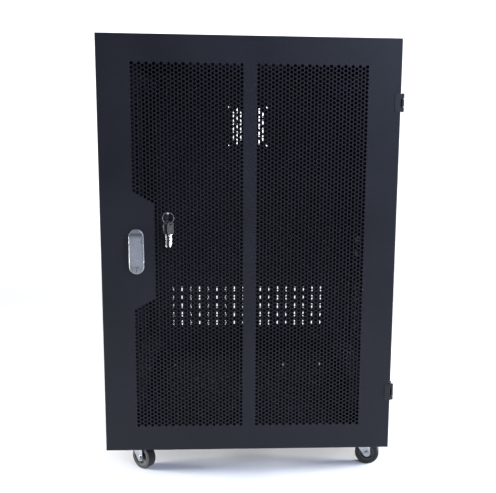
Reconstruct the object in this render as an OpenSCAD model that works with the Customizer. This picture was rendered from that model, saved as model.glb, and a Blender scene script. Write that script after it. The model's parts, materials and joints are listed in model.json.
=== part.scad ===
// Free-standing 15-unit network rack cabinet on four castors.
// Origin: floor level under the middle of the cabinet. +Z up, front door towards -Y.

/* [Cabinet] */
// Overall width of the doors and frame
cab_w = 600; // [570:10:800]
// Overall depth over both doors
cab_d = 600; // [560:10:900]
// Height of the cabinet above its castors
cab_h = 855; // [840:5:1200]
// Height of the cabinet's underside above the floor
ride_h = 63; // [62:0.5:70]
// Number of rack units
rack_units = 15; // [8:1:15]

/* [Sheet metal] */
// Thickness of the frame, posts and rails
frame_t = 1.5; // [1.2:0.1:2]
// Thickness of the doors and side panels
skin_t = 1.2; // [1:0.1:1.5]
// Depth of a door's folded edge
door_fold = 18; // [15:1:20]
// Gap between a door and the frame
door_gap = 2; // [1.8:0.1:3]

/* [Perforated fields] */
// Half the width of the plain bar down the middle of the front door
bar_half = 10; // [8:1:14]
// Distance from the middle of the door to a field's outer edge
field_out = 236; // [200:1:240]
// Plain border above and below a field
field_end = 50; // [40:1:80]

/* [Handle] */
// Width of the handle's base plate
handle_w = 30; // [30:1:44]
// Height of the handle's base plate
handle_h = 92; // [92:1:120]
// Distance of the handle from the door's free edge
handle_in = 72; // [64:1:80]

/* [Castors] */
// Diameter of a wheel
wheel_d = 53; // [44:1:53]
// Width of a wheel
wheel_w = 20; // [16:1:22]
// Distance of a wheel's axle from its swivel axis
trail = 21; // [18:1:24]

/* [Hidden] */
$fn = 48;

// How far a cutting shape runs past the face that it cuts
cut = 1;

// Finishes
black_coat = "#2c2f37";
inner_coat = "#24262c";
zinc = "#b9bcc0";
die_cast = "#9a9da2";
tyre_black = "#26272a";
plastic_black = "#1b1c1f";

// Heights and faces
top_z = ride_h + cab_h;
frame_y = cab_d / 2 - door_fold - door_gap;
band_low = 40;
band_high = 38.5;
band_lip = 25;
castor_lip = 78;
post_z0 = ride_h + band_low;
post_z1 = top_z - frame_t - band_high;
post_face = 50;
post_leg = 40;
side_fold = 12;
panel_gap = 1;
post_leg_in = 15;
post_leg_x = cab_w / 2 - post_leg_in;

// Rack unit grid
unit_h = 44.45;
hole_span = 465.1;
rail_opening = 450;
rail_leg_x = 243;
rail_t = 1.5;
rail_set_back = 50;
rail_leg = 40;
square_hole = 9.5;
hole_steps = [6.35, 22.225, 38.1];
rail_h = rack_units * unit_h;
rail_margin = 40;
units_z0 = (post_z0 + post_z1 - rail_h) / 2;
rail_z0 = units_z0 - rail_margin;
rail_z1 = units_z0 + rail_h + rail_margin;
rail_y = frame_y - rail_set_back;
nut_unit = 7;
nut_play = 0.2;
nut_depth = 7;
cage = [13, 1, 11];
cage_hole_r = 2.5;

// Depth rails
depth_rail_h = 30;
depth_rail_in = 5;
depth_low_z = rail_z0 + depth_rail_in;
depth_high_z = rail_z1 - depth_rail_h - depth_rail_in;
slot_pitch = 40;
slots_each_way = 5;
rail_slot = [7, 26];
slot_end = 15;
bolt_clear = 0.1;
bolt_y = min(slots_each_way, floor((rail_y - slot_end) / slot_pitch)) * slot_pitch;
rail_bolt_r = 3;
rail_head_r = 5.5;
rail_head_h = 4;

// Hinges
hinge_x = cab_w / 2 + 4;
hinge_y = cab_d / 2 - 4;
hinge_h = 35;
hinge_in = 125;
knuckle_r = 3.5;
pin_r = 1.5;
pin_head = 1;
pin_head_r = 2.7;
run_gap = 0.05;
mid_gap = 1;
bend_in = 0.5;
wrap = 4;
wrap_gap = 0.2;
lobe_h = 9;
leaf_w = 10.5;
leaf_in = 12;
bracket_w = 42;
bracket_in = 36;

// Handle
handle_x = -(cab_w / 2 - handle_in);
handle_z = ride_h + cab_h / 2;
base_t = 5;
spindle_up = 30;
spindle_z = handle_z + spindle_up;
spindle_r = 8;
boss_r = 14;
boss_t = 1.5;
boss_lift = 0.3;
ear_t = 2.4;
ear_x = 11.4;
ear_half = 5;
lever_t = 10.8;
lever_w = 24;
lever_len = 59;
eye_half = 9.9;
eye_drop = 9.5;
eye_gap = 0.3;
pin_half = 12.6;
lever_gap = 2.1;
lever_back = base_t + lever_gap;
pin_y = -(cab_d / 2 + lever_back + lever_t / 2);
cylinder_r = 6.5;
cylinder_out = 3;
cylinder_in = 16;
keyway_w = 1.4;
keyway_h = 8;
keyway_d = 4;
cylinder_down = 38;
cylinder_z = handle_z - cylinder_down;
cam_t = 3;
cam_len = 34;
cam_w = 16;
cam_y = frame_y - 4;

// Lock notch in the left field
notch_depth = 43;
notch_half = 96;
notch_slope = tan(30);

// Keys
key_x = -163;
ring_r = 11.2;
ring_wire_r = 0.8;
ring_z = ride_h + 497;
ring_out = 7.5;
ring_y = -(cab_d / 2 + ring_out);
tie_r = 0.7;
tie_head_r = 1.8;
tie_head_t = 0.8;
tie_out = 2.2;
key_play = 0.2;
tie_play = 0.1;
key_spread = 3.6;
key_turn = 40;
key_eye_r = 3;
key_drop = sqrt(pow(ring_r, 2) - pow(key_spread, 2)) + key_play;
tie_z = ring_z + ring_r - ring_wire_r - tie_r - tie_play;

// Rear door vents
fan_z = ride_h + 674;
vent_slot = [3.2, 14];
fan_slot = [3.2, 15];
fan_screw = 105;
fan_screw_r = 2.25;
fan_r = 53;
fan_column = 10.3;
fan_row = 21.3;
vent_z = ride_h + 160;
vent_pitch = 25;
vent_columns = 18;
vent_rows = 5;

// Roof entry and its cover
entry_w = 260;
entry_d = 70;
entry_y = 190;
cover_w = entry_w + 30;
guide_y0 = entry_y - 110;
guide_y1 = entry_y + 60;
guide_h = 3.6;
guide_gap = 0.5;
guide_lip = 6;
cover_gap = 0.3;
cover_back = 12;
cover_short = 8;
roof_slot = [6, 120];
roof_slot_rows = 9;
roof_slot_x = 130;
roof_slot_y = -100;
roof_slot_pitch = 14;

// Floor knock-outs and earth stud
floor_z = post_z0;
knock_w = 100;
knock_d = 110;
knock_x = 145.5;
knock_y = frame_y - 50 - knock_d / 2;
knock_gap = 1.6;
tab_w = 8;
stud_x = -262;
stud_y = -150;
stud_h = 16;
stud_r = 3;
stud_nut_r = 5.8;
stud_nut_h = 5;
stud_nut_z = 4;

// Side panels and their locks
side_z0 = post_z0 + panel_gap;
side_z1 = post_z1 - panel_gap;
side_clear = 1.5;
side_half = frame_y - frame_t - side_clear;
side_lock_y = -(frame_y - 55);
side_lock_down = 117;
side_lock_z = side_z1 - side_lock_down;
side_lock_r = 9;
side_rim = 2;
side_seat = 0.3;
side_key = [12, 2];
tongue_gap = 3;

// Front door fields
field_z0 = ride_h + field_end;
field_z1 = top_z - field_end;
rib_w = 12;
rib_d = 11;

// Rear lock
lock_x = handle_x;
lock_z = handle_z;
lock_r = 7;
lock_clear = 0.5;
rose_r = 15;
rose_t = 3;
rose_gap = 0.3;
rose_step = 3;
wing_w = 6;
wing_h = 28;
wing_d = 10;

// Castors
castor_in_x = 55;
castor_in_y = 65;
castor_x = cab_w / 2 - castor_in_x;
castor_y = cab_d / 2 - castor_in_y;
plate_w = 54;
plate_t = 2.5;
bolt_off = 20;
bolt_r = 3;
bolt_play = 0.2;
hex_r = 5;
head_h = 3.6;
nut_h = 4;
race_r = 15;
crown_t = 2.2;
crown_gap = 3.8;
crown_top = wheel_d + crown_gap;
race_gap = 0.3;
king_r = 4;
king_rim = 2;
king_head = 1.4;
king_z = wheel_d - 0.4;
cheek_back = 8;
cheek_front = 5;
cheek_r = 8;
tread_r = 3;
hub_r = 9;
rim_w = 8;
dish = 1.5;
axle_r = 3;
axle_head_h = 3;
cheek_t = 2;
cheek_in = wheel_w / 2 + 1;
wheel_r = wheel_d / 2;

// Trail direction of each castor at rest: front left, front right, rear left, rear right
rest_turn = [-38, -12, 200, 155];

// ---------- shared shapes ----------

// A slot or plate with round ends, h long over all
module slot(w, h) {
    square([w, h - w], center = true);
    for (s = [-1, 1]) translate([0, s * (h - w) / 2]) circle(d = w);
}

// Turns a flat XZ outline into a plate from y0 to y0 + t
module upright(y0, t) {
    translate([0, y0 + t, 0]) rotate([90, 0, 0]) linear_extrude(t) children();
}

// A cylinder along Y from y0 to y1
module rod_y(x, z, y0, y1, r) {
    translate([x, y1, z]) rotate([90, 0, 0]) cylinder(r = r, h = y1 - y0);
}

// A cylinder along X from x0 to x1
module rod_x(y, z, x0, x1, r) {
    translate([x0, y, z]) rotate([0, 90, 0]) cylinder(r = r, h = x1 - x0);
}

// A band of folded sheet round the cabinet, with lips turned inwards
module folded_band(z0, h) {
    w = cab_w;
    d = 2 * frame_y;
    translate([0, 0, z0]) difference() {
        translate([-w / 2, -d / 2, 0]) cube([w, d, h]);
        translate([-w / 2 + frame_t, -d / 2 + frame_t, frame_t])
            cube([w - 2 * frame_t, d - 2 * frame_t, h - 2 * frame_t]);
        for (z = [0, h - frame_t])
            translate([-w / 2 + band_lip, -d / 2 + band_lip, z - cut])
                cube([w - 2 * band_lip, d - 2 * band_lip, frame_t + 2 * cut]);
    }
}

// ---------- frame ----------

module top_frame() color(black_coat) folded_band(post_z1, band_high);

module castor_bolt_places() {
    for (sx = [-1, 1], sy = [-1, 1], bx = [-1, 1], by = [-1, 1])
        translate([sx * castor_x + bx * bolt_off, sy * castor_y + by * bolt_off, 0]) children();
}

module bottom_frame() color(black_coat) difference() {
    union() {
        folded_band(ride_h, band_low);
        for (sx = [-1, 1], sy = [-1, 1]) mirror([sx < 0 ? 1 : 0, 0, 0]) mirror([0, sy < 0 ? 1 : 0, 0])
            translate([cab_w / 2 - castor_lip - frame_t, frame_y - castor_lip - frame_t, ride_h])
                cube([castor_lip, castor_lip, frame_t]);
    }
    castor_bolt_places() translate([0, 0, ride_h - cut])
        cylinder(r = bolt_r + bolt_play, h = frame_t + 2 * cut);
}

// One corner post, drawn for the front right corner
module post_shape() {
    translate([0, 0, post_z0]) linear_extrude(post_z1 - post_z0) {
        translate([cab_w / 2 - post_face, -frame_y]) square([post_face, frame_t]);
        translate([post_leg_x - frame_t, -frame_y]) square([frame_t, post_leg]);
    }
}
module post_front_right() color(inner_coat) post_shape();
module post_front_left() color(inner_coat) mirror([1, 0, 0]) post_shape();
module post_rear_right() color(inner_coat) mirror([0, 1, 0]) post_shape();
module post_rear_left() color(inner_coat) mirror([0, 1, 0]) mirror([1, 0, 0]) post_shape();

// A channel from post to post, open outwards, with slots that let the rack rails shift
module depth_rail_shape(z0) {
    half = frame_y - frame_t;
    out = post_leg_x - frame_t;
    difference() {
        translate([rail_leg_x, -half, z0]) cube([out - rail_leg_x, 2 * half, depth_rail_h]);
        translate([rail_leg_x + frame_t, -half - cut, z0 + frame_t])
            cube([out - rail_leg_x, 2 * half + 2 * cut, depth_rail_h - 2 * frame_t]);
        for (i = [-slots_each_way:slots_each_way])
            translate([rail_leg_x - cut, i * slot_pitch, z0 + depth_rail_h / 2])
                rotate([90, 0, 90]) linear_extrude(frame_t + 2 * cut)
                    rotate(90) slot(rail_slot[0], rail_slot[1]);
    }
}
module depth_rail_right_low() color(zinc) depth_rail_shape(depth_low_z);
module depth_rail_right_high() color(zinc) depth_rail_shape(depth_high_z);
module depth_rail_left_low() color(zinc) mirror([1, 0, 0]) depth_rail_shape(depth_low_z);
module depth_rail_left_high() color(zinc) mirror([1, 0, 0]) depth_rail_shape(depth_high_z);

module at_rail_bolts() {
    for (sx = [0, 1], sy = [-1, 1], z0 = [depth_low_z, depth_high_z])
        mirror([sx, 0, 0]) translate([0, sy * bolt_y, z0 + depth_rail_h / 2]) children();
}

// An upright with three square holes in each rack unit, drawn for the front right
module rack_rail_shape() {
    difference() {
        translate([0, 0, rail_z0]) linear_extrude(rail_z1 - rail_z0) {
            translate([rail_opening / 2, -rail_y]) square([rail_leg_x - rail_opening / 2, rail_t]);
            translate([rail_leg_x - rail_t, -rail_y]) square([rail_t, rail_leg]);
        }
        for (u = [0:rack_units - 1], step = hole_steps)
            translate([hole_span / 2, -rail_y + rail_t / 2, units_z0 + u * unit_h + step])
                cube([square_hole, rail_t + 2 * cut, square_hole], center = true);
        for (z0 = [depth_low_z, depth_high_z])
            rod_x(-bolt_y, z0 + depth_rail_h / 2, rail_leg_x - rail_t - cut, rail_leg_x + cut,
                  rail_bolt_r + bolt_clear);
    }
}
module rack_rail_front_right() color(black_coat) rack_rail_shape();
module rack_rail_front_left() color(black_coat) mirror([1, 0, 0]) rack_rail_shape();
module rack_rail_rear_right() color(black_coat) mirror([0, 1, 0]) rack_rail_shape();
module rack_rail_rear_left() color(black_coat) mirror([0, 1, 0]) mirror([1, 0, 0]) rack_rail_shape();

// A cage nut seated in a square hole, its cage behind the rail
module cage_nut() {
    difference() {
        union() {
            translate([0, nut_depth / 2, 0])
                cube([square_hole - nut_play, nut_depth, square_hole - nut_play], center = true);
            translate([0, rail_t + cage[1] / 2, 0]) cube(cage, center = true);
        }
        rod_y(0, 0, -cut, nut_depth + cut, cage_hole_r);
    }
}
module cage_nuts() color(zinc)
    for (s = [-1, 1], step = [hole_steps[0], hole_steps[2]])
        translate([s * hole_span / 2, -rail_y, units_z0 + nut_unit * unit_h + step]) cage_nut();

// Bolts and nuts that hold the rack rails to the depth rails
module rail_bolt() {
    web_out = rail_leg_x + frame_t;
    rod_x(0, 0, rail_leg_x - rail_t, web_out, rail_bolt_r);
    for (x0 = [rail_leg_x - rail_t - rail_head_h, web_out])
        translate([x0, 0, 0]) rotate([0, 90, 0]) cylinder(r = rail_head_r, h = rail_head_h, $fn = 6);
}
module rail_bolts() color(zinc) at_rail_bolts() rail_bolt();

// ---------- roof and floor ----------

// Folded strip that holds one end of the sliding cover, drawn for the right end
module cover_guide() {
    side_x = cover_w / 2 + guide_gap;
    translate([side_x, guide_y0, -guide_h]) cube([frame_t, guide_y1 - guide_y0, guide_h]);
    translate([side_x + guide_gap - guide_lip, guide_y0, -guide_h])
        cube([guide_lip, guide_y1 - guide_y0, frame_t]);
}

module roof_panel() color(black_coat) translate([0, 0, top_z - frame_t]) difference() {
    union() {
        translate([-cab_w / 2, -frame_y, 0]) cube([cab_w, 2 * frame_y, frame_t]);
        for (sx = [0, 1]) mirror([sx, 0, 0]) cover_guide();
    }
    translate([-entry_w / 2, entry_y - entry_d / 2, -cut]) cube([entry_w, entry_d, frame_t + 2 * cut]);
    for (s = [-1, 1], i = [0:roof_slot_rows - 1])
        translate([s * roof_slot_x, roof_slot_y + (i - (roof_slot_rows - 1) / 2) * roof_slot_pitch, -cut])
            linear_extrude(frame_t + 2 * cut) rotate(90) slot(roof_slot[0], roof_slot[1]);
}

// Cover that slides under the roof's cable entry, and leaves a gap for the cables
module roof_entry_cover() color(inner_coat)
    translate([-cover_w / 2, entry_y - entry_d / 2 - cover_back, top_z - frame_t - cover_gap - skin_t])
        cube([cover_w, entry_d - cover_short, skin_t]);

// Sheet that lies on the bottom frame, between the posts
module floor_panel() color(inner_coat) translate([0, 0, floor_z]) difference() {
    half_x = post_leg_x - 2 * frame_t;
    half_y = frame_y - 2 * frame_t;
    translate([-half_x, -half_y, 0]) cube([2 * half_x, 2 * half_y, skin_t]);
    for (s = [-1, 1]) translate([s * knock_x - knock_w / 2, knock_y - knock_d / 2, -cut])
        cube([knock_w, knock_d, skin_t + 2 * cut]);
}

// A plate that fills a cable hole and snaps out: four narrow tabs hold it
module knockout_shape(s) translate([s * knock_x, knock_y, floor_z]) {
    translate([knock_gap - knock_w / 2, knock_gap - knock_d / 2, 0])
        cube([knock_w - 2 * knock_gap, knock_d - 2 * knock_gap, skin_t]);
    translate([-knock_w / 2, -tab_w / 2, 0]) cube([knock_w, tab_w, skin_t]);
    translate([-tab_w / 2, -knock_d / 2, 0]) cube([tab_w, knock_d, skin_t]);
}
module floor_knockout_left() color(inner_coat) knockout_shape(-1);
module floor_knockout_right() color(inner_coat) knockout_shape(1);

// Earth stud and nut on the floor beside the front of the cabinet
module earth_stud() color("#c2a24a") translate([stud_x, stud_y, floor_z + skin_t]) {
    cylinder(r = stud_r, h = stud_h);
    translate([0, 0, stud_nut_z]) cylinder(r = stud_nut_r, h = stud_nut_h, $fn = 6);
}

// ---------- side panels ----------

module side_panel_shape() {
    fold_in = cab_w / 2 - side_fold;
    difference() {
        translate([fold_in, -side_half, side_z0])
            cube([side_fold, 2 * side_half, side_z1 - side_z0]);
        translate([fold_in - cut, -side_half + skin_t, side_z0 + skin_t])
            cube([side_fold + cut - skin_t, 2 * (side_half - skin_t), side_z1 - side_z0 - 2 * skin_t]);
        for (row = [0:3], i = [0:11])
            translate([cab_w / 2 - skin_t - cut, side_half - 40 - i * 16, side_z0 + 90 + row * 34])
                rotate([90, 0, 90]) linear_extrude(skin_t + 2 * cut) slot(6, 24);
        rod_x(side_lock_y, side_lock_z, cab_w / 2 - skin_t - cut, cab_w / 2 + cut,
              side_lock_r + run_gap);
    }
}
module side_panel_right() color(black_coat) side_panel_shape();
module side_panel_left() color(black_coat) mirror([1, 0, 0]) side_panel_shape();

// Quarter-turn lock: slotted face, barrel and a tongue that swings behind the post
module side_lock_shape() {
    face = cab_w / 2;
    tongue_x = post_leg_x - frame_t - tongue_gap - cam_t;
    difference() {
        union() {
            rod_x(side_lock_y, side_lock_z, face + side_seat, face + side_rim, side_lock_r + side_rim);
            rod_x(side_lock_y, side_lock_z, tongue_x + cam_t, face + side_seat, side_lock_r);
        }
        translate([face + side_rim / 2, side_lock_y - side_key[0] / 2, side_lock_z - side_key[1] / 2])
            cube([side_rim, side_key[0], side_key[1]]);
    }
    translate([tongue_x, side_lock_y - cam_w / 2, side_lock_z - cam_w / 2])
        cube([cam_t, cam_w, cam_len + cam_w / 2]);
}
module side_lock_right() color(zinc) side_lock_shape();
module side_lock_left() color(zinc) mirror([1, 0, 0]) side_lock_shape();

// ---------- front door ----------

// Outline of the right field, in X and Z
module field_outline() translate([bar_half, field_z0]) square([field_out - bar_half, field_z1 - field_z0]);

// Plain area round the handle that the left field leaves out
module notch_outline() {
    inner = field_out - notch_depth;
    far = field_out + cut;
    rise = (far - inner) * notch_slope;
    polygon([
        [-inner, handle_z - notch_half], [-inner, handle_z + notch_half],
        [-far, handle_z + notch_half + rise], [-far, handle_z - notch_half - rise],
    ]);
}

module left_field() difference() {
    mirror([1, 0]) field_outline();
    notch_outline();
}

// A sheet with all four edges folded back, its outer face at y = -cab_d / 2
module door_pan() {
    difference() {
        translate([-cab_w / 2, -cab_d / 2, ride_h]) cube([cab_w, door_fold, cab_h]);
        translate([-cab_w / 2 + skin_t, -cab_d / 2 + skin_t, ride_h + skin_t])
            cube([cab_w - 2 * skin_t, door_fold, cab_h - 2 * skin_t]);
    }
}

// A round hole through the sheet of a door's face
module skin_hole(x, z, r) rod_y(x, z, -cab_d / 2 - cut, -cab_d / 2 + skin_t + cut, r);

module front_door_skin() color(black_coat) difference() {
    door_pan();
    upright(-cab_d / 2 - cut, skin_t + 2 * cut) { field_outline(); left_field(); }
    skin_hole(handle_x, spindle_z, spindle_r + 2 * lock_clear);
    skin_hole(handle_x, cylinder_z, cylinder_r + lock_clear);
}
module front_mesh_left() color(black_coat) upright(-cab_d / 2, skin_t) left_field();
module front_mesh_right() color(black_coat) upright(-cab_d / 2, skin_t) field_outline();

// Hat-shaped rib behind the plain bar
module front_door_stiffener() color(black_coat)
    translate([0, -cab_d / 2 + skin_t, field_z0]) linear_extrude(field_z1 - field_z0) difference() {
        union() {
            translate([-bar_half + 1, 0]) square([2 * bar_half - 2, skin_t]);
            translate([-rib_w / 2, 0]) square([rib_w, rib_d]);
        }
        translate([-rib_w / 2 + skin_t, -cut]) square([rib_w - 2 * skin_t, rib_d + cut - skin_t]);
    }

// ---------- hinges, drawn for the front door ----------

module at_hinges() for (z = [ride_h + hinge_in, top_z - hinge_in]) translate([0, 0, z]) children();

// Fixed half: a plate on the post, folded forward to the middle knuckle
module bracket_shape() at_hinges() {
    mid_h = hinge_h - 2 * lobe_h - 2 * mid_gap;
    back = -frame_y - frame_t;
    difference() {
        union() {
            translate([cab_w / 2 - bracket_in, back, -hinge_h / 2]) cube([bracket_w, frame_t, hinge_h]);
            translate([hinge_x + bend_in, back, -mid_h / 2]) mirror([0, 1, 0])
                cube([frame_t, hinge_y + back, mid_h]);
            translate([hinge_x, -hinge_y, -mid_h / 2]) cylinder(r = knuckle_r, h = mid_h);
        }
        translate([hinge_x, -hinge_y, -hinge_h]) cylinder(r = pin_r, h = 2 * hinge_h);
    }
}

// Moving half: a leaf on the door's face and the outer two knuckles
module leaf_shape() at_hinges() {
    knuckle_reach = -(cab_d / 2);
    for (z = [-hinge_h / 2, hinge_h / 2 - lobe_h]) difference() {
        union() {
            translate([hinge_x, -hinge_y, z]) cylinder(r = knuckle_r, h = lobe_h);
            translate([cab_w / 2 - wrap / 2, knuckle_reach - skin_t, z]) cube([wrap, skin_t, lobe_h]);
            translate([cab_w / 2 + wrap_gap, knuckle_reach - skin_t, z]) cube([skin_t, wrap, lobe_h]);
        }
        translate([hinge_x, -hinge_y, z - cut])
            cylinder(r = pin_r + run_gap, h = lobe_h + 2 * cut);
    }
    translate([cab_w / 2 - leaf_in, knuckle_reach - skin_t, -hinge_h / 2]) cube([leaf_w, skin_t, hinge_h]);
}

module hinge_pin_shape() at_hinges() {
    translate([hinge_x, -hinge_y, -hinge_h / 2 - pin_head]) cylinder(r = pin_r, h = hinge_h + 2 * pin_head);
    translate([hinge_x, -hinge_y, hinge_h / 2 + pin_head / 2]) cylinder(r = pin_head_r, h = pin_head);
}

module front_hinge_brackets() color(plastic_black) bracket_shape();
module front_hinge_leaves() color(plastic_black) leaf_shape();
module front_hinge_pins() color(zinc) hinge_pin_shape();
module rear_hinge_brackets() color(plastic_black) mirror([0, 1, 0]) bracket_shape();
module rear_hinge_leaves() color(plastic_black) mirror([0, 1, 0]) leaf_shape();
module rear_hinge_pins() color(zinc) mirror([0, 1, 0]) hinge_pin_shape();

// ---------- swing handle ----------

module handle_base() color(die_cast) difference() {
    upright(-cab_d / 2 - base_t, base_t) translate([handle_x, handle_z]) slot(handle_w, handle_h);
    rod_y(handle_x, spindle_z, -cab_d / 2 - base_t - cut, -cab_d / 2 + cut, spindle_r + run_gap);
    rod_y(handle_x, cylinder_z, -cab_d / 2 - base_t - cut, -cab_d / 2 + cut, cylinder_r + run_gap);
}

// Round boss with two cheeks for the lever's pin, on a shaft through the door
module handle_spindle() color(zinc) difference() {
    boss_back = -cab_d / 2 - base_t - boss_lift;
    ear_y = pin_y - lever_t / 2;
    union() {
        rod_y(handle_x, spindle_z, boss_back - boss_t, -cam_y, spindle_r);
        rod_y(handle_x, spindle_z, boss_back - boss_t, boss_back, boss_r);
        for (s = [-1, 1]) translate([handle_x + s * ear_x - ear_t / 2, ear_y, spindle_z - ear_half])
            cube([ear_t, boss_back - cut - ear_y, 2 * ear_half]);
    }
    rod_x(pin_y, spindle_z, handle_x - lever_w, handle_x + lever_w, pin_r);
    translate([handle_x - eye_half - eye_gap, pin_y - lever_t, spindle_z - boss_r])
        cube([2 * (eye_half + eye_gap), 1.5 * lever_t + eye_gap, 2 * boss_r]);
}

module handle_lever() color(die_cast) difference() {
    wide_top = spindle_z - eye_drop;
    union() {
        rod_x(pin_y, spindle_z, handle_x - eye_half, handle_x + eye_half, lever_t / 2);
        translate([handle_x - eye_half, pin_y - lever_t / 2, wide_top - cut])
            cube([2 * eye_half, lever_t, spindle_z - wide_top + cut]);
        upright(pin_y - lever_t / 2, lever_t) {
            translate([handle_x - lever_w / 2, spindle_z - lever_len + lever_w / 2])
                square([lever_w, wide_top - spindle_z + lever_len - lever_w / 2]);
            translate([handle_x, spindle_z - lever_len + lever_w / 2]) circle(d = lever_w);
        }
    }
    rod_x(pin_y, spindle_z, handle_x - lever_w, handle_x + lever_w, pin_r + run_gap);
}

module handle_pin() color(zinc) rod_x(pin_y, spindle_z, handle_x - pin_half, handle_x + pin_half, pin_r);

// Tongue behind the door: hangs beside the post, and turns behind it to lock
module handle_cam() color(zinc)
    translate([handle_x - cam_w / 2, -cam_y, spindle_z - cam_len])
        cube([cam_w, cam_t, cam_len + cam_w / 2]);

module key_cylinder() color(zinc) difference() {
    face = -cab_d / 2 - base_t - cylinder_out;
    rod_y(handle_x, cylinder_z, face, -cab_d / 2 + cylinder_in, cylinder_r);
    translate([handle_x - keyway_w / 2, face - cut, cylinder_z - keyway_h / 2])
        cube([keyway_w, keyway_d + cut, keyway_h]);
}

// ---------- keys on their ring ----------

module key_tie() color("#d8d8d4") {
    rod_y(key_x, tie_z, ring_y - tie_out, -cab_d / 2, tie_r);
    rod_y(key_x, tie_z, ring_y - tie_out - tie_head_t, ring_y - tie_out, tie_head_r);
}

module key_ring() color(zinc) translate([key_x, ring_y, ring_z]) rotate([90, 0, 0])
    rotate_extrude() translate([ring_r, 0]) circle(r = ring_wire_r, $fn = 24);

// One key: round-shouldered bow with an eye, and a blade cut with steps
module key_shape() {
    bow = 22;
    bow_r = 8;
    bow_t = 2;
    blade_t = 1.8;
    difference() {
        union() {
            upright(-bow_t / 2, bow_t) hull() {
                translate([0, -bow_r / 2]) circle(r = bow_r);
                translate([0, -bow + bow_r]) circle(r = bow_r);
            }
            upright(-blade_t / 2, blade_t) polygon([
                [-3.6, -bow + 2], [3.6, -bow + 2], [3.6, -bow - 20], [0, -bow - 27], [-3.6, -bow - 24],
                [-3.6, -bow - 20], [-2.2, -bow - 18], [-3.6, -bow - 15], [-2, -bow - 12],
                [-3.6, -bow - 9], [-3.6, -bow],
            ]);
        }
        rod_y(0, 0, -bow_t, bow_t, key_eye_r);
    }
}
// Two keys side by side, turned so that the ring's wire runs through their eyes
module keys() color(zinc)
    for (s = [-1, 1])
        translate([key_x + s * key_spread, ring_y, ring_z - key_drop])
            rotate([0, 0, key_turn]) key_shape();

// ---------- rear door ----------

// Staggered slots inside the fan's circle
module fan_vent() for (c = [-4:4], r = [-3:3]) {
    x = c * fan_column;
    z = (r + (c % 2 == 0 ? 0.5 : 0)) * fan_row;
    if (norm([x, z]) < fan_r) translate([x, z]) slot(fan_slot[0], fan_slot[1]);
}

module rear_door() color(black_coat) mirror([0, 1, 0]) difference() {
    door_pan();
    upright(-cab_d / 2 - cut, skin_t + 2 * cut) {
        translate([0, fan_z]) fan_vent();
        for (i = [0:vent_columns - 1], j = [0:vent_rows - 1])
            translate([i - (vent_columns - 1) / 2, j - (vent_rows - 1) / 2] * vent_pitch + [0, vent_z])
                slot(vent_slot[0], vent_slot[1]);
    }
    for (sx = [-1, 1], sz = [-1, 1])
        skin_hole(sx * fan_screw / 2, fan_z + sz * fan_screw / 2, fan_screw_r);
    skin_hole(lock_x, lock_z, lock_r + lock_clear);
}

module rear_lock_escutcheon() color(die_cast) difference() {
    rod_y(lock_x, lock_z, cab_d / 2, cab_d / 2 + rose_t, rose_r);
    rod_y(lock_x, lock_z, cab_d / 2 - cut, cab_d / 2 + rose_t + cut, lock_r + run_gap);
}

// Wing knob with a shaft through the door and a tongue behind it
module rear_lock_knob() color(zinc) {
    face = cab_d / 2 + 2 * rose_t;
    rod_y(lock_x, lock_z, cam_y, face, lock_r);
    rod_y(lock_x, lock_z, cab_d / 2 + rose_t + rose_gap, face, rose_r - rose_step);
    translate([lock_x - wing_w / 2, face, lock_z - wing_h / 2]) cube([wing_w, wing_d, wing_h]);
    translate([lock_x - cam_w / 2, cam_y - cam_t, lock_z - cam_len])
        cube([cam_w, cam_t, cam_len + cam_w / 2]);
}

// ---------- castors ----------

// Places children at castor i, with +X along its trail
module at_castor(i) {
    sx = i % 2 == 0 ? -1 : 1;
    sy = i < 2 ? -1 : 1;
    translate([sx * castor_x, sy * castor_y, 0]) rotate(rest_turn[i]) children();
}

module at_plate_bolts() for (bx = [-1, 1], by = [-1, 1])
    translate([bx * bolt_off, by * bolt_off, 0]) children();

// Hex bolt up through the plate and the frame, with its nut on top
module plate_bolt() {
    grip = plate_t + frame_t;
    translate([0, 0, ride_h - plate_t - head_h]) {
        cylinder(r = hex_r, h = head_h, $fn = 6);
        cylinder(r = bolt_r, h = head_h + grip + nut_h / 2);
        translate([0, 0, head_h + grip]) cylinder(r = hex_r, h = nut_h, $fn = 6);
    }
}

// Top plate with its bolts, the ball race under it and the king pin
module castor_plate(i) color(zinc) at_castor(i) {
    rotate(-rest_turn[i]) {
        difference() {
            translate([-plate_w / 2, -plate_w / 2, ride_h - plate_t]) cube([plate_w, plate_w, plate_t]);
            at_plate_bolts() translate([0, 0, ride_h - plate_t - cut])
                cylinder(r = bolt_r, h = plate_t + 2 * cut);
        }
        at_plate_bolts() plate_bolt();
    }
    race_z = crown_top + race_gap;
    translate([0, 0, race_z]) cylinder(r = race_r, h = ride_h - plate_t - race_z + cut);
    translate([0, 0, king_z]) cylinder(r = king_r, h = race_z - king_z + cut);
    translate([0, 0, king_z]) cylinder(r = king_r + king_rim, h = king_head);
}

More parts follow.
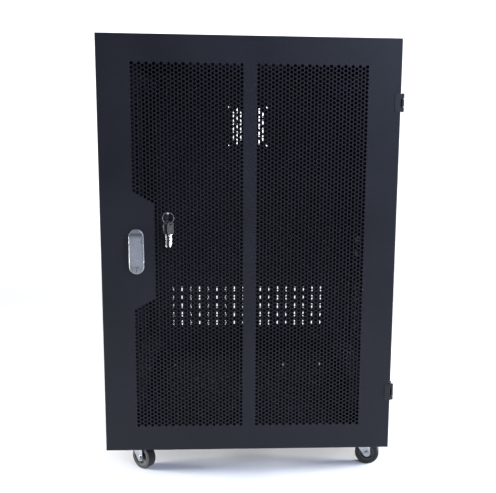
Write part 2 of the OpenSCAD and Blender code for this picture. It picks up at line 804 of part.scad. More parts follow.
// Pressed fork: crown plate, two cheeks that taper to the axle, and the axle bolt
module castor_fork(i) color(zinc) at_castor(i) {
    crown_z = crown_top - crown_t;
    reach = cheek_in + cheek_t;
    difference() {
        union() {
            translate([0, 0, crown_z]) cylinder(r = race_r, h = crown_t);
            translate([0, -reach, crown_z]) cube([trail + cheek_front, 2 * reach, crown_t]);
            for (y0 = [-reach, cheek_in]) upright(y0, cheek_t) hull() {
                translate([-cheek_back, crown_z]) square([cheek_back + trail + cheek_front, crown_t]);
                translate([trail, wheel_r]) circle(r = cheek_r);
            }
        }
        translate([0, 0, crown_z - cut]) cylinder(r = king_r + run_gap, h = crown_t + 2 * cut);
        rod_y(trail, wheel_r, -wheel_w, wheel_w, axle_r);
    }
    rod_y(trail, wheel_r, -reach, reach, axle_r);
    for (y = [-reach, reach + axle_head_h]) translate([trail, y, wheel_r]) rotate([90, 0, 0])
        cylinder(r = hex_r, h = axle_head_h, $fn = 6);
}

// Solid wheel: rounded tread, dished faces and a hub round the axle
module castor_wheel(i) color(tyre_black) at_castor(i)
    translate([trail, 0, wheel_r]) rotate([90, 0, 0]) rotate_extrude() {
        half = wheel_w / 2;
        difference() {
            union() {
                translate([axle_r + run_gap, -half])
                    square([wheel_r - tread_r - axle_r - run_gap, 2 * half]);
                translate([wheel_r - 2 * tread_r, tread_r - half])
                    square([2 * tread_r, 2 * (half - tread_r)]);
                for (s = [-1, 1]) translate([wheel_r - tread_r, s * (half - tread_r)]) circle(r = tread_r);
            }
            for (s = [-1, 1]) translate([hub_r, s * half - dish])
                square([wheel_r - hub_r - rim_w, 2 * dish]);
        }
    }

top_frame();
bottom_frame();
post_front_left();
post_front_right();
post_rear_left();
post_rear_right();
depth_rail_left_low();
depth_rail_left_high();
depth_rail_right_low();
depth_rail_right_high();
rack_rail_front_left();
rack_rail_front_right();
rack_rail_rear_left();
rack_rail_rear_right();
cage_nuts();
rail_bolts();
roof_panel();
roof_entry_cover();
floor_panel();
floor_knockout_left();
floor_knockout_right();
earth_stud();
side_panel_left();
side_panel_right();
side_lock_left();
side_lock_right();
front_door_skin();
front_mesh_left();
front_mesh_right();
front_door_stiffener();
front_hinge_brackets();
front_hinge_leaves();
front_hinge_pins();
handle_base();
handle_spindle();
handle_lever();
handle_pin();
handle_cam();
key_cylinder();
key_tie();
key_ring();
keys();
rear_door();
rear_hinge_brackets();
rear_hinge_leaves();
rear_hinge_pins();
rear_lock_escutcheon();
rear_lock_knob();
castor_plate(0);  // castor_plate_front_left
castor_plate(1);  // castor_plate_front_right
castor_plate(2);  // castor_plate_rear_left
castor_plate(3);  // castor_plate_rear_right
castor_fork(0);  // castor_fork_front_left
castor_fork(1);  // castor_fork_front_right
castor_fork(2);  // castor_fork_rear_left
castor_fork(3);  // castor_fork_rear_right
castor_wheel(0);  // castor_wheel_front_left
castor_wheel(1);  // castor_wheel_front_right
castor_wheel(2);  // castor_wheel_rear_left
castor_wheel(3);  // castor_wheel_rear_right
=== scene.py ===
"""Looks of a free-standing network rack cabinet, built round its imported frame. Lengths are in metres."""
import json
import math

import bmesh
import bpy
from mathutils import Matrix, Vector


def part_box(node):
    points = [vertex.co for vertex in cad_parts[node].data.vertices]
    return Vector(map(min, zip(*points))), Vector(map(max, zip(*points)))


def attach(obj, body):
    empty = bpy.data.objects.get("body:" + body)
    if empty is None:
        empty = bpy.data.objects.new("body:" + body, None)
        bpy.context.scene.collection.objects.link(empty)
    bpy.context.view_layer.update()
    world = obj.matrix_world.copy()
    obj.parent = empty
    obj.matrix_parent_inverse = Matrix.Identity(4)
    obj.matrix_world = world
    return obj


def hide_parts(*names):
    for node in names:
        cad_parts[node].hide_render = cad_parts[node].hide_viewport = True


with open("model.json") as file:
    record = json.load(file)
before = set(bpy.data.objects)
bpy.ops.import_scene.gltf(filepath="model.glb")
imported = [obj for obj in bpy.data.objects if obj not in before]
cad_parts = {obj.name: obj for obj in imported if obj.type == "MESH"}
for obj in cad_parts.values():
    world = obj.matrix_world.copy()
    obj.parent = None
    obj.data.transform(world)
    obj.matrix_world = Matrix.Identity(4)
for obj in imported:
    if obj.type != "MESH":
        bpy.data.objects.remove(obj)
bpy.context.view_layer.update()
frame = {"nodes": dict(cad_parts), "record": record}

MM = 0.001
SHEET = 1.2 * MM  # door and side panel sheet
BEND = 1.8 * MM  # outside radius of a folded edge

# The punched lattice: hexagons whose nearest neighbours are above and below
PITCH = 8.25 * MM
HOLE = 6.4 * MM  # across flats
COLUMN_STEP = PITCH * math.sqrt(3) / 2
COLUMNS = 31
ROWS = 90
FIRST_COLUMN = 16.5 * MM  # from the middle of the door

CORNERS = ("front_left", "front_right", "rear_left", "rear_right")
BODY_OF = {node: body for body, nodes in frame["record"]["behaviour"]["bodies"].items() for node in nodes}
SLOT_OF = {part["node"]: part["material_slot"] for part in frame["record"]["subparts"]}
AXIS_OF = {joint["name"]: Vector(joint["axis"]) for joint in frame["record"]["behaviour"]["joints"]}


# ---------- camera, floor and light ----------

def turned(axis, degrees):
    """A turn about an axis, as a matrix."""
    return Matrix.Rotation(math.radians(degrees), 4, axis)


def make_camera():
    """A camera about 1.5 m in front of the door, level with its upper part, that looks slightly down."""
    camera = bpy.data.cameras.new("camera")
    camera.lens = 53.38
    camera.shift_x = -0.075
    camera.shift_y = -0.0085
    camera.clip_end = 60
    holder = bpy.data.objects.new("camera", camera)
    bpy.context.scene.collection.objects.link(holder)
    yaw = -3.374
    down = 9.519
    roll = 0.739
    place = (-0.0146, -1.7767, 0.7586)
    aim = turned("Z", yaw) @ turned("X", 90 - down) @ turned("Z", roll)
    holder.matrix_world = Matrix.Translation(place) @ aim
    bpy.context.scene.camera = holder


def area_light(name, place, target, size, power, tint="#ffffff"):
    """A soft box that faces its target and is not itself seen."""
    lamp = bpy.data.lights.new(name, "AREA")
    lamp.shape = "RECTANGLE"
    lamp.size, lamp.size_y = size
    lamp.energy = power
    lamp.color = colour(tint)[:3]
    holder = bpy.data.objects.new(name, lamp)
    bpy.context.scene.collection.objects.link(holder)
    holder.location = place
    holder.rotation_euler = (Vector(target) - Vector(place)).to_track_quat("-Z", "Y").to_euler()
    holder.visible_camera = False


def make_stage():
    """A pale floor that sweeps up into a pale wall behind."""
    half_width = 30
    front_reach = 30
    sweep_start = 2.5
    sweep = 2.5
    turn = 0.1
    wall_height = 7
    bm = bmesh.new()
    bend = [bm.edges.new([bm.verts.new((x, -front_reach, 0)) for x in (-half_width, half_width)])]
    arc = [turn * i for i in range(round(math.pi / 2 / turn))]
    steps = [(0, front_reach + sweep_start, 0)]
    steps += [(0, sweep * (math.sin(a + turn) - math.sin(a)), sweep * (math.cos(a) - math.cos(a + turn)))
              for a in arc]
    steps += [(0, 0, wall_height)]
    for step in steps:
        made = bmesh.ops.extrude_edge_only(bm, edges=bend)["geom"]
        bmesh.ops.translate(bm, verts=verts_of(made), vec=step)
        bend = edges_of(made)
    new_piece("studio_floor", bm, pale_floor(), smooth=True)


def make_light():
    """A dim, even surround, two soft boxes on the front, and others on the floor and the wall."""
    world = bpy.data.worlds.new("studio")
    bpy.context.scene.world = world
    world.use_nodes = True
    shade = world.node_tree.nodes["Background"]
    shade.inputs["Color"].default_value = colour("#eef2fa")
    shade.inputs["Strength"].default_value = 0.24
    area_light("key", (1.6, -1.5, 2.5), (0.1, -0.1, 0.3), (1.7, 1.7), 48, "#e6edff")
    area_light("sheen", (1.2, -2.1, 1.45), (0.3, -0.3, 0.85), (0.6, 0.8), 34, "#cfdcff")
    area_light("back_floor", (0, 3.0, 3.4), (0, 3.6, 0), (3.4, 1.6), 74)
    area_light("left_floor", (-3.2, 0.4, 2.6), (-1.3, 0.4, 0), (2.4, 2.4), 40)
    area_light("right_floor", (3.2, 0.4, 2.6), (1.2, 0.4, 0), (2.4, 2.4), 16)
    area_light("left_low", (-1.5, -0.2, 0.28), (0, -0.2, 0), (0.5, 0.2), 46)
    area_light("right_low", (1.5, -0.2, 0.28), (0, -0.2, 0), (0.5, 0.2), 46)
    area_light("wall", (0, 2.2, 2.6), (0, 5, 1.6), (4.4, 1.2), 66)
    bpy.context.scene.view_settings.view_transform = "Standard"


# ---------- materials ----------

def colour(code, alpha=1.0):
    """sRGB hex to linear."""
    parts = [int(code[i:i + 2], 16) / 255 for i in (1, 3, 5)]
    linear = [p / 12.92 if p <= 0.04045 else ((p + 0.055) / 1.055) ** 2.4 for p in parts]
    return (*linear, alpha)


def add(tree, kind, inputs=None, **settings):
    """Adds a node. An input given as a socket is linked, and any other value is set."""
    made = tree.nodes.new("ShaderNode" + kind)
    for name, value in settings.items():
        setattr(made, name, value)
    for name, value in (inputs or {}).items():
        if isinstance(value, bpy.types.NodeSocket):
            tree.links.new(value, made.inputs[name])
        else:
            made.inputs[name].default_value = value
    return made


def start(name, **shader):
    """A new material with its shader's own sockets set, and object coordinates."""
    made = bpy.data.materials.new(name)
    made.use_nodes = True
    tree = made.node_tree
    surface = tree.nodes["Principled BSDF"]
    for socket, value in shader.items():
        surface.inputs[socket.replace("_", " ")].default_value = value
    place = add(tree, "TexCoord").outputs["Object"]
    return made, tree, surface, place


def grain(tree, place, size, detail=2.0, stretch=(1, 1, 1)):
    """Noise whose blobs are about size metres across."""
    spot = add(tree, "Mapping", {"Vector": place, "Scale": stretch}).outputs["Vector"]
    inputs = {"Vector": spot, "Scale": 0.6 / size, "Detail": detail}
    return add(tree, "TexNoise", inputs).outputs["Fac"]


def spread(tree, value, low, high, to_low, to_high):
    """The value, moved from one range to another."""
    inputs = {"Value": value, "From Min": low, "From Max": high, "To Min": to_low, "To Max": to_high}
    return add(tree, "MapRange", inputs).outputs["Result"]


def blend_colours(tree, share, first, second):
    """A colour between the two, nearer the second as the share rises."""
    inputs = {0: share, 6: first, 7: second}
    return add(tree, "Mix", inputs, data_type="RGBA").outputs[2]


def bump(tree, height, depth):
    """A surface relief, depth metres deep."""
    return add(tree, "Bump", {"Height": height, "Distance": depth}).outputs["Normal"]


def wire(tree, surface, **sockets):
    """Links each value to the shader's socket of that name."""
    for socket, value in sockets.items():
        tree.links.new(value, surface.inputs[socket.replace("_", " ")])


def powder_coat(name, dark, light, gloss=0.3):
    """Black polyester powder, sprayed and baked: a satin film with a fine orange-peel skin that breaks up
    reflections, and faint clouds where the film is thicker."""
    made, tree, surface, place = start(name, IOR=1.5, Specular_IOR_Level=gloss)
    clouds = grain(tree, place, 0.09, detail=3)
    speck = grain(tree, place, 0.0011, detail=1)
    peel = grain(tree, place, 0.0016, detail=2)
    shade = blend_colours(tree, spread(tree, clouds, 0.3, 0.7, 0, 1), colour(dark), colour(light))
    fleck = blend_colours(tree, spread(tree, speck, 0.58, 0.8, 0, 0.25), shade, colour("#3c4049"))
    wire(tree, surface, Base_Color=fleck, Roughness=spread(tree, clouds, 0.3, 0.7, 0.42, 0.54),
         Normal=bump(tree, peel, 0.00005))
    return made


def zinc_plate(name, tone="#b9bbbd", rough=(0.24, 0.42)):
    """Steel with bright plate: pale metal with a slight clouded bloom and drawn streaks."""
    made, tree, surface, place = start(name, Metallic=1.0)
    bloom = grain(tree, place, 0.012, detail=3)
    streak = grain(tree, place, 0.0008, detail=2, stretch=(1, 1, 0.12))
    shade = blend_colours(tree, spread(tree, bloom, 0.35, 0.7, 0, 1), colour(tone), colour("#8e9092"))
    wire(tree, surface, Base_Color=shade, Roughness=spread(tree, bloom, 0.3, 0.7, *rough),
         Normal=bump(tree, streak, 0.00002))
    return made


def silver_lacquer(name):
    """Zinc die casting under silver-grey lacquer: metallic flake in a satin film over a cast skin."""
    made, tree, surface, place = start(name, Metallic=0.6, Coat_Weight=0.25, Coat_Roughness=0.3)
    flake = grain(tree, place, 0.0005, detail=1)
    skin = grain(tree, place, 0.002, detail=2)
    shade = blend_colours(tree, spread(tree, flake, 0.35, 0.65, 0, 1), colour("#85888c"), colour("#a3a5a9"))
    wire(tree, surface, Base_Color=shade, Roughness=spread(tree, skin, 0.3, 0.7, 0.32, 0.44),
         Normal=bump(tree, skin, 0.00003))
    return made


def black_oxide(name):
    """Steel blacked in hot salts: nearly black, semi-gloss, greyer where it has rubbed."""
    made, tree, surface, place = start(name, Metallic=0.2, Specular_IOR_Level=0.35)
    rub = grain(tree, place, 0.004, detail=3)
    shade = blend_colours(tree, spread(tree, rub, 0.45, 0.75, 0, 0.6), colour("#1a1b1f"), colour("#2b2b2f"))
    wire(tree, surface, Base_Color=shade, Roughness=spread(tree, rub, 0.3, 0.7, 0.4, 0.55),
         Normal=bump(tree, grain(tree, place, 0.0009), 0.00003))
    return made


def wheel_rubber(name):
    """Moulded black rubber: dull, slightly grey with dust that clings to the tread."""
    made, tree, surface, place = start(name, IOR=1.5, Specular_IOR_Level=0.4, Sheen_Weight=0.08,
                                       Sheen_Roughness=0.5)
    dust = grain(tree, place, 0.006, detail=4)
    shade = blend_colours(tree, spread(tree, dust, 0.4, 0.75, 0, 0.7), colour("#1c1c1e"), colour("#33332f"))
    wire(tree, surface, Base_Color=shade, Roughness=spread(tree, dust, 0.3, 0.7, 0.6, 0.8),
         Normal=bump(tree, grain(tree, place, 0.0008), 0.00005))
    return made


def moulded_plastic(name, dark, light, rough=(0.35, 0.5)):
    """Injection-moulded plastic with a fine spark-eroded skin."""
    made, tree, surface, place = start(name, IOR=1.49)
    cloud = grain(tree, place, 0.01)
    skin = grain(tree, place, 0.0006)
    wire(tree, surface, Base_Color=blend_colours(tree, cloud, colour(dark), colour(light)),
         Roughness=spread(tree, cloud, 0.3, 0.7, *rough), Normal=bump(tree, skin, 0.00003))
    return made


def brass(name):
    """Turned brass: warm metal with tool rings."""
    made, tree, surface, place = start(name, Metallic=1.0)
    rings = add(tree, "TexWave", {"Vector": place, "Scale": 900.0, "Distortion": 0.4}, bands_direction="Z")
    tarnish = grain(tree, place, 0.004)
    shade = blend_colours(tree, tarnish, colour("#c9a24c"), colour("#9a7632"))
    wire(tree, surface, Base_Color=shade, Roughness=spread(tree, tarnish, 0.3, 0.7, 0.25, 0.4),
         Normal=bump(tree, rings.outputs["Fac"], 0.00003))
    return made


def pale_floor():
    """Painted studio floor: flat, nearly white."""
    made, tree, surface, place = start("painted_floor", Roughness=0.9, Specular_IOR_Level=0.1)
    cloud = grain(tree, place, 0.8)
    wire(tree, surface, Base_Color=blend_colours(tree, cloud, colour("#f3f3f4"), colour("#edeef0")))
    return made


COAT = powder_coat("black_powder_coat", "#16181d", "#1a1c22", gloss=0.22)
INSIDE_COAT = powder_coat("black_powder_coat_inside", "#17181c", "#1c1d22")
KEY_HEAD = moulded_plastic("black_key_head_plastic", "#0b0c0e", "#121316", (0.5, 0.62))
HUB = moulded_plastic("grey_nylon_hub", "#3a3b3d", "#48494b")
RUBBER = wheel_rubber("moulded_wheel_rubber")
NICKEL = zinc_plate("nickel_plate", "#cfcfcd", (0.16, 0.3))
FINISHES = {
    "black_powder_coat": COAT,
    "inner_powder_coat": INSIDE_COAT,
    "zinc_plate": zinc_plate("bright_zinc_plate"),
    "die_cast_grey": silver_lacquer("silver_lacquer_on_die_casting"),
    "black_oxide": black_oxide("black_oxide_steel"),
    "brass_stud": brass("turned_brass"),
    "wheel_rubber": RUBBER,
    "key_nickel": NICKEL,
    "tie_plastic": moulded_plastic("white_nylon", "#d9d9d2", "#c9c9c2"),
}


# ---------- shared shaping ----------

def verts_of(geom):
    return [g for g in geom if isinstance(g, bmesh.types.BMVert)]


def edges_of(geom):
    return [g for g in geom if isinstance(g, bmesh.types.BMEdge)]


def faces_of(geom):
    return [g for g in geom if isinstance(g, bmesh.types.BMFace)]


def everything(bm):
    return bm.verts[:] + bm.edges[:] + bm.faces[:]


def new_piece(name, bm, material, smooth=False, angle=35):
    """Writes a bmesh to an object at the origin. Faces blend smoothly up to the angle, and the wide flat
    ones keep their flat shade."""
    mesh = bpy.data.meshes.new(name)
    bm.to_mesh(mesh)
    bm.free()
    mesh.materials.append(material)
    piece = bpy.data.objects.new(name, mesh)
    bpy.context.scene.collection.objects.link(piece)
    mesh.shade_smooth()
    if not smooth:
        mesh.set_sharp_from_angle(angle=math.radians(angle))
        even = piece.modifiers.new("flat_faces_stay_flat", "WEIGHTED_NORMAL")
        even.weight = 100
        even.keep_sharp = True
    return piece


def fit(piece, node):
    """The piece rides with the node's body and stands for the node, whose own mesh is hidden."""
    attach(piece, BODY_OF[node])
    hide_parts(node)


def bevel(bm, edges, radius, segments=2):
    """Rounds the edges."""
    bmesh.ops.bevel(bm, geom=edges, offset=radius, offset_type="OFFSET", segments=segments,
                    profile=0.5, affect="EDGES", clamp_overlap=True, material=-1)


def sharp_edges(bm):
    """Edges whose faces meet at a corner."""
    limit = math.radians(30)
    return [e for e in bm.edges if e.is_manifold and e.calc_face_angle(0) > limit]


def merged_copy(node):
    """A bmesh of a CAD node's mesh, with its loose triangles joined into whole faces."""
    bm = bmesh.new()
    bm.from_mesh(frame["nodes"][node].data)
    bmesh.ops.remove_doubles(bm, verts=bm.verts, dist=0.002 * MM)
    bmesh.ops.dissolve_limit(bm, angle_limit=math.radians(0.5), verts=bm.verts, edges=bm.edges)
    return bm


def box_sides(vert, low, high):
    """Which planes of the box the vertex lies on, as pairs of axis and end."""
    return {(axis, end) for axis in range(3) for end, limit in enumerate((low[axis], high[axis]))
            if abs(vert.co[axis] - limit) < 0.01 * MM}


def eased(node, radius, open_side=None):
    """The node's own shape with its edges rounded, as pressing, casting or deburring leaves them. The box
    edges of a folded pan, away from its open side, get a folded edge's larger radius first."""
    bm = merged_copy(node)
    if open_side:
        low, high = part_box(node)
        folds = []
        for edge in bm.edges:
            ends = [box_sides(v, low, high) for v in edge.verts]
            if len((ends[0] & ends[1]) - {open_side}) == 2:
                folds.append(edge)
        bevel(bm, folds, BEND, 4)
    bevel(bm, sharp_edges(bm), radius)
    fit(new_piece(node + "_eased", bm, FINISHES[SLOT_OF[node]]), node)


def outline(bm, points, y):
    """A closed loop of edges through (x, z) points, on the plane y."""
    verts = [bm.verts.new((x, y, z)) for x, z in points]
    return [bm.edges.new((verts[i - 1], verts[i])) for i in range(len(verts))]


def arc_points(x, z, radius, start_angle, end_angle, steps):
    """Points along an arc, with its angles in degrees."""
    angles = [math.radians(start_angle + (end_angle - start_angle) * i / steps) for i in range(steps + 1)]
    return [(x + radius * math.cos(a), z + radius * math.sin(a)) for a in angles]


def circle_points(x, z, radius, steps=24):
    """Points round a circle."""
    return arc_points(x, z, radius, 0, 360, steps)[:-1]


def round_ended(x, low_z, high_z, width):
    """The outline of a tall plate with half-round ends."""
    r = width / 2
    steps = 18
    return arc_points(x, high_z - r, r, 0, 180, steps) + arc_points(x, low_z + r, r, 180, 360, steps)


def plate(bm, points, front_y, back_y):
    """A flat plate from an outline. Returns its front face."""
    rim = outline(bm, points, back_y)
    face = bmesh.ops.contextual_create(bm, geom=rim)["faces"][0]
    made = bmesh.ops.extrude_face_region(bm, geom=[face])["geom"]
    bmesh.ops.translate(bm, verts=verts_of(made), vec=(0, front_y - back_y, 0))
    bmesh.ops.recalc_face_normals(bm, faces=bm.faces)
    return faces_of(made)[0]


def thicken(bm):
    """Gives a sheet its thickness behind its drawn face, which looks towards -Y."""
    bmesh.ops.recalc_face_normals(bm, faces=bm.faces)
    bmesh.ops.reverse_faces(bm, faces=[f for f in bm.faces if f.normal.y > 0.5])
    bmesh.ops.solidify(bm, geom=bm.faces[:], thickness=SHEET)
    bmesh.ops.recalc_face_normals(bm, faces=bm.faces)


# ---------- front door ----------

door_low, door_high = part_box("front_door_skin")
door_mid = (door_low.z + door_high.z) / 2
face_y = door_low.y
field_low, field_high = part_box("front_mesh_right")
field_in, field_out = field_low.x, field_high.x
handle_low, handle_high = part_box("handle_base")
handle_x = (handle_low.x + handle_high.x) / 2
cylinder_low, cylinder_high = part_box("key_cylinder")
cylinder_z = (cylinder_low.z + cylinder_high.z) / 2
pin_low, pin_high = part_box("handle_pin")
spindle_z = (pin_low.z + pin_high.z) / 2
NOTCH_DEPTH = 43 * MM  # how far the plain area round the handle steps into the left field
NOTCH_HALF = 96 * MM  # half its height at its inner side
NOTCH_ANGLE = math.radians(30)  # slope of its upper and lower ends
notch_in = field_out - NOTCH_DEPTH


def field_points(side):
    """Corners of a perforated field; the left one steps in round the handle."""
    corners = [(field_in, field_low.z), (field_in, field_high.z), (field_out, field_high.z)]
    if side < 0:
        shoulder = NOTCH_HALF + NOTCH_DEPTH * math.tan(NOTCH_ANGLE)
        corners += [(field_out, door_mid + shoulder), (notch_in, door_mid + NOTCH_HALF),
                    (notch_in, door_mid - NOTCH_HALF), (field_out, door_mid - shoulder)]
    corners.append((field_out, field_low.z))
    return [(side * x, z) for x, z in corners]


def in_notch(x, z, margin=0.0):
    """Whether a point lies in the plain area round the handle, or within the margin of it."""
    along = abs(x) - notch_in
    reach = NOTCH_HALF + along * math.tan(NOTCH_ANGLE) + margin / math.cos(NOTCH_ANGLE)
    return along > -margin and abs(z - door_mid) < reach


def cut_by_notch(bm, point, normal):
    """Cuts the faces round the notch along a plane, and keeps both sides."""
    faces = []
    for face in bm.faces:
        centre = face.calc_center_median()
        if in_notch(centre.x, centre.z, PITCH):
            faces.append(face)
    edges = {e for f in faces for e in f.edges}
    verts = {v for f in faces for v in f.verts}
    bmesh.ops.bisect_plane(bm, geom=[*verts, *edges, *faces], dist=0.001 * MM,
                           plane_co=point, plane_no=normal)


def punched_field(side, name, node):
    """Hexagonal cells laid side by side and joined, cut to the field's outline. Each cell loses its middle
    to a hole, apart from those at the border."""
    bm = bmesh.new()
    bmesh.ops.create_circle(bm, cap_ends=True, radius=PITCH / math.sqrt(3), segments=6)
    bmesh.ops.rotate(bm, verts=bm.verts, matrix=turned("X", 90) @ turned("Z", 30))
    bmesh.ops.inset_individual(bm, faces=bm.faces[:], thickness=(PITCH - HOLE) / 2, use_even_offset=True)
    first_z = door_mid - (ROWS - 0.5) * PITCH / 2 + PITCH / 4
    first = Vector((FIRST_COLUMN - COLUMN_STEP, face_y, first_z - 2 * PITCH))
    bmesh.ops.translate(bm, verts=bm.verts, vec=first)
    cell = everything(bm)
    for row in range(1, ROWS + 4):
        copy = bmesh.ops.duplicate(bm, geom=cell)["geom"]
        bmesh.ops.translate(bm, verts=verts_of(copy), vec=(0, 0, row * PITCH))
    column = everything(bm)
    for i in range(1, COLUMNS + 2):
        copy = bmesh.ops.duplicate(bm, geom=column)["geom"]
        bmesh.ops.translate(bm, verts=verts_of(copy), vec=(i * COLUMN_STEP, 0, i % 2 * PITCH / 2))
    if side < 0:
        bmesh.ops.scale(bm, verts=bm.verts, vec=(-1, 1, 1))
    bmesh.ops.remove_doubles(bm, verts=bm.verts, dist=0.05 * MM)
    last_column = FIRST_COLUMN + (COLUMNS - 0.5) * COLUMN_STEP
    last_row = (ROWS + 0.5) * PITCH / 2
    holes = []
    for face in bm.faces:
        centre = face.calc_center_median()
        in_columns = FIRST_COLUMN - PITCH / 2 < abs(centre.x) < last_column
        in_rows = abs(centre.z - door_mid) < last_row
        by_handle = side < 0 and in_notch(centre.x, centre.z, PITCH / 2)
        if len(face.verts) == 6 and in_columns and in_rows and not by_handle:
            holes.append(face)
    bmesh.ops.delete(bm, geom=holes, context="FACES_ONLY")
    low = Vector((min(side * field_in, side * field_out), 0, field_low.z))
    high = Vector((max(side * field_in, side * field_out), 0, field_high.z))
    for point, normal in ((low, (-1, 0, 0)), (low, (0, 0, -1)), (high, (1, 0, 0)), (high, (0, 0, 1))):
        bmesh.ops.bisect_plane(bm, geom=everything(bm), dist=0.001 * MM, plane_co=point, plane_no=normal,
                               clear_outer=True)
    if side < 0:
        corners = [Vector((x, 0, z)) for x, z in field_points(side)[3:7]]
        cut_by_notch(bm, corners[1], (1, 0, 0))
        for end, inner in ((corners[0], corners[1]), (corners[3], corners[2])):
            run = end - inner
            cut_by_notch(bm, inner, (-run.z, 0, run.x))
        spare = [f for f in bm.faces if in_notch(f.calc_center_median().x, f.calc_center_median().z)]
        bmesh.ops.delete(bm, geom=spare, context="FACES")
    thicken(bm)
    fit(new_piece(name, bm, COAT), node)


def front_door_sheet():
    """One sheet with its four edges folded back round a bend, and its openings."""
    bm = bmesh.new()
    depth = door_high.y - door_low.y
    corners = [(door_low.x + BEND, door_low.z + BEND), (door_low.x + BEND, door_high.z - BEND),
               (door_high.x - BEND, door_high.z - BEND), (door_high.x - BEND, door_low.z + BEND)]
    rim = outline(bm, corners, face_y)
    spindle_hole_r = 9 * MM
    cylinder_hole_r = 7 * MM
    openings = [field_points(1), field_points(-1), circle_points(handle_x, spindle_z, spindle_hole_r),
                circle_points(handle_x, cylinder_z, cylinder_hole_r)]
    loops = [outline(bm, points, face_y) for points in openings]
    bmesh.ops.triangle_fill(bm, use_beauty=True, edges=rim + [e for loop in loops for e in loop])
    steps = 5
    angles = [math.pi / 2 * (i + 1) / steps for i in range(steps)]
    bends = [(BEND * math.sin(a), BEND * (1 - math.cos(a))) for a in angles] + [(BEND, depth)]
    reach, back = 0.0, 0.0
    for out, deep in bends:
        made = bmesh.ops.extrude_edge_only(bm, edges=rim)["geom"]
        for v in verts_of(made):
            v.co.x += math.copysign(out - reach, v.co.x)
            v.co.z += math.copysign(out - reach, v.co.z - door_mid)
            v.co.y += deep - back
        rim, reach, back = edges_of(made), out, deep
    thicken(bm)
    fit(new_piece("front_door_sheet", bm, COAT), "front_door_skin")


def front_door():
    """The folded sheet, its two punched fields, and the rib behind the bar."""
    front_door_sheet()
    punched_field(1, "punched_field_right", "front_mesh_right")
    punched_field(-1, "punched_field_left", "front_mesh_left")
    eased("front_door_stiffener", 0.4 * MM)


# ---------- swing handle and keys ----------

KEY_HEAD_LENGTH = 22 * MM  # from the ring's eye to the foot of the head


def handle_base():
    """Die-cast escutcheon: a dished plate with half-round ends and a raised, rounded rim."""
    bm = bmesh.new()
    rim_width = 1.6 * MM
    dish_depth = 1.0 * MM
    dish_slope = 0.5 * MM
    points = round_ended(handle_x, handle_low.z, handle_high.z, handle_high.x - handle_low.x)
    front = plate(bm, points, handle_low.y, handle_high.y)
    bevel(bm, list(front.edges), rim_width, 4)
    front = min(bm.faces, key=lambda f: (round(f.calc_center_median().y / MM, 2), -f.calc_area()))
    bmesh.ops.inset_region(bm, faces=[front], thickness=rim_width)
    bmesh.ops.inset_region(bm, faces=[front], thickness=dish_slope, depth=-dish_depth)
    fit(new_piece("handle_escutcheon", bm, FINISHES["die_cast_grey"]), "handle_base")


def handle_lever():
    """Die-cast lever, well rounded round its front face."""
    node = "handle_lever"
    bm = merged_copy(node)
    front_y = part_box(node)[0].y + 0.01 * MM
    front_edges = [e for e in sharp_edges(bm) if all(v.co.y < front_y for v in e.verts)]
    bevel(bm, front_edges, 1.5 * MM, 4)
    bevel(bm, sharp_edges(bm), 0.4 * MM)
    fit(new_piece("handle_lever_cast", bm, FINISHES["die_cast_grey"]), node)


def split_ring():
    """Nearly two turns of flattened spring wire side by side, with blunt ends."""
    node = "key_ring"
    low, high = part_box(node)
    middle = (low + high) / 2
    wire_r = (high.y - low.y) / 4
    radius = (high.x - low.x) / 2 - 2 * wire_r
    bm = bmesh.new()
    bmesh.ops.create_circle(bm, cap_ends=True, radius=wire_r, segments=8)
    bmesh.ops.scale(bm, verts=bm.verts, vec=(1.8, 1, 1))
    bmesh.ops.translate(bm, verts=bm.verts, vec=(middle.x + radius, middle.y - wire_r, middle.z))
    steps = 120
    sweep = math.radians(712)
    bmesh.ops.spin(bm, geom=everything(bm), cent=middle, axis=(0, 1, 0), angle=sweep,
                   dvec=(0, 2 * wire_r / steps, 0), steps=steps, use_duplicate=False)
    bmesh.ops.recalc_face_normals(bm, faces=bm.faces)
    fit(new_piece("split_ring", bm, NICKEL), node)


def key_head():
    """A moulded head: a round top, a straight-sided foot, and an eye for the ring at its origin."""
    half_width = 8 * MM
    foot_r = 5 * MM
    foot_x = half_width - foot_r
    foot_z = foot_r - KEY_HEAD_LENGTH
    thick = 3 * MM
    bm = bmesh.new()
    shape = arc_points(0, -4 * MM, half_width, 0, 180, 16)
    shape += arc_points(-foot_x, foot_z, foot_r, 180, 270, 6)
    shape += arc_points(foot_x, foot_z, foot_r, 270, 360, 6)
    rim = outline(bm, shape, 0)
    eye = outline(bm, circle_points(0, 0, 3 * MM, 16), 0)
    bmesh.ops.triangle_fill(bm, use_beauty=True, edges=rim + eye)
    made = bmesh.ops.extrude_face_region(bm, geom=bm.faces[:])["geom"]
    bmesh.ops.translate(bm, verts=verts_of(made), vec=(0, thick, 0))
    bmesh.ops.recalc_face_normals(bm, faces=bm.faces)
    bevel(bm, sharp_edges(bm), 0.7 * MM, 3)
    bmesh.ops.translate(bm, verts=bm.verts, vec=(0, -thick / 2, 0))
    return bm


def key_blade():
    """A flat steel blade, with its cuts down one side, that runs up into the head."""
    thick = 1.8 * MM
    straight_side = [(3.6, 2), (3.6, -20)]
    tip = [(0, -27), (-3.6, -23.5)]
    cuts = [(-3.6, -20), (-2.2, -18), (-3.4, -15), (-2, -12), (-3.5, -9), (-2.6, -6.5), (-3.6, -4),
            (-3.6, 2)]
    bm = bmesh.new()
    points = [(x * MM, z * MM - KEY_HEAD_LENGTH) for x, z in straight_side + tip + cuts]
    plate(bm, points, -thick / 2, thick / 2)
    bevel(bm, sharp_edges(bm), 0.2 * MM)
    return bm


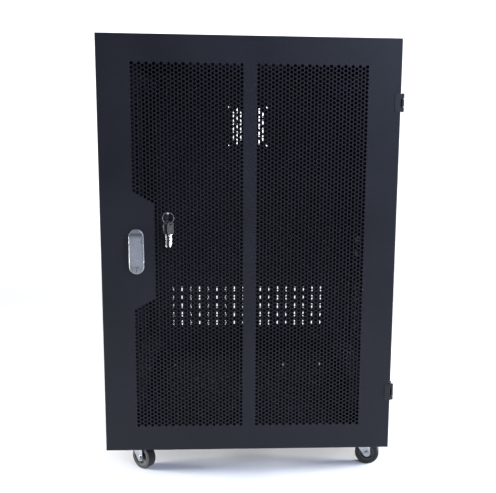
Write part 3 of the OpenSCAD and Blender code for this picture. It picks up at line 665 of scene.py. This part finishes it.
def key_pair():
    """Two keys side by side on the ring, each turned a little out of the door's plane."""
    ring_low, ring_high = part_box("key_ring")
    middle = (ring_low + ring_high) / 2
    top_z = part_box("keys")[1].z - 4 * MM
    spread_x = 3.6 * MM
    turn = 40
    heads = bmesh.new()
    blades = bmesh.new()
    for side in (-1, 1):
        for part, whole in ((key_head(), heads), (key_blade(), blades)):
            bmesh.ops.rotate(part, verts=part.verts, matrix=turned("Z", turn))
            bmesh.ops.translate(part, verts=part.verts, vec=(middle.x + side * spread_x, middle.y, top_z))
            mesh = bpy.data.meshes.new("part")
            part.to_mesh(mesh)
            part.free()
            whole.from_mesh(mesh)
            bpy.data.meshes.remove(mesh)
    fit(new_piece("key_heads", heads, KEY_HEAD), "keys")
    fit(new_piece("key_blades", blades, NICKEL), "keys")


def handle_and_keys():
    """Everything that the door carries on its notch."""
    handle_base()
    handle_lever()
    for node in ("handle_spindle", "handle_pin", "handle_cam", "key_cylinder", "key_tie"):
        eased(node, 0.35 * MM)
    split_ring()
    key_pair()


# ---------- castors ----------

def joined_profile(bm, points):
    """A closed loop of edges through (radius, along) points in the XY plane."""
    verts = [bm.verts.new((r, along, 0)) for r, along in points]
    return verts + [bm.edges.new((verts[i - 1], verts[i])) for i in range(len(verts))]


def wheel_part(corner, name, points, material):
    """Spins a profile round the wheel's axle."""
    node = "castor_wheel_" + corner
    low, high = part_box(node)
    axle = AXIS_OF["wheel_spin_" + corner]
    bm = bmesh.new()
    profile = joined_profile(bm, points)
    bmesh.ops.spin(bm, geom=profile, cent=(0, 0, 0), axis=(0, 1, 0), angle=math.tau, steps=64,
                   use_merge=True)
    bmesh.ops.remove_doubles(bm, verts=bm.verts, dist=0.01 * MM)
    bmesh.ops.recalc_face_normals(bm, faces=bm.faces)
    heading = math.atan2(-axle.x, axle.y)
    bmesh.ops.rotate(bm, verts=bm.verts, matrix=Matrix.Rotation(heading, 4, "Z"))
    bmesh.ops.translate(bm, verts=bm.verts, vec=(low + high) / 2)
    fit(new_piece(name + "_" + corner, bm, material, angle=40), node)


def castor(corner):
    """A tyre with rounded shoulders, a grey hub with a boss and a thin web, the fork and the plate."""
    low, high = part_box("castor_wheel_" + corner)
    outer = (high.z - low.z) / 2
    half = 10 * MM
    shoulder_r = 3 * MM
    seat = 16.5 * MM
    shoulder = arc_points(outer - shoulder_r, half - shoulder_r, shoulder_r, 90, 0, 6)
    side = [(seat, half - 1.2 * MM), (seat + 1.2 * MM, half - 0.3 * MM), (seat + 2 * MM, half)] + shoulder
    tyre = side + [(r, -along) for r, along in reversed(side)]
    wheel_part(corner, "castor_tyre", tyre, RUBBER)
    bore = 3.1 * MM
    boss = 6.5 * MM
    boss_end = half + 0.4 * MM
    web = 3 * MM
    lip = half - 1.6 * MM
    face = [(bore, boss_end), (boss - 0.5 * MM, boss_end), (boss, half), (boss + 0.8 * MM, web),
            (seat - 2.5 * MM, web), (seat - 1.8 * MM, lip), (seat + 0.05 * MM, lip)]
    hub = face + [(r, -along) for r, along in reversed(face)]
    wheel_part(corner, "castor_hub", hub, HUB)
    eased("castor_fork_" + corner, 0.45 * MM)
    eased("castor_plate_" + corner, 0.35 * MM)


# ---------- the rest of the cabinet ----------

def cabinet():
    """Rear door, panels, frames, rails and small fittings, each rounded as its making leaves it."""
    eased("rear_door", 0.25 * MM, open_side=(1, 0))
    eased("side_panel_left", 0.3 * MM, open_side=(0, 1))
    eased("side_panel_right", 0.3 * MM, open_side=(0, 0))
    for node in ("top_frame", "bottom_frame", "roof_panel"):
        eased(node, 0.5 * MM)
    small = {"front_hinge_brackets": 0.4, "front_hinge_leaves": 0.35, "front_hinge_pins": 0.3,
             "rear_hinge_brackets": 0.4, "rear_hinge_leaves": 0.35, "rear_hinge_pins": 0.3,
             "rear_lock_escutcheon": 0.8, "rear_lock_knob": 0.8,
             "side_lock_left": 0.5, "side_lock_right": 0.5, "earth_stud": 0.3,
             "cage_nuts": 0.3, "rail_bolts": 0.3, "roof_entry_cover": 0.3,
             "floor_panel": 0.3, "floor_knockout_left": 0.3, "floor_knockout_right": 0.3}
    for node, radius in small.items():
        eased(node, radius * MM)
    for node in frame["nodes"]:
        if node.startswith(("post_", "depth_rail_", "rack_rail_")):
            eased(node, 0.35 * MM)


make_camera()
make_stage()
make_light()
front_door()
handle_and_keys()
for corner in CORNERS:
    castor(corner)
cabinet()

for node, slot in SLOT_OF.items():
    mesh = frame["nodes"][node].data
    mesh.materials.clear()
    mesh.materials.append(FINISHES[slot])
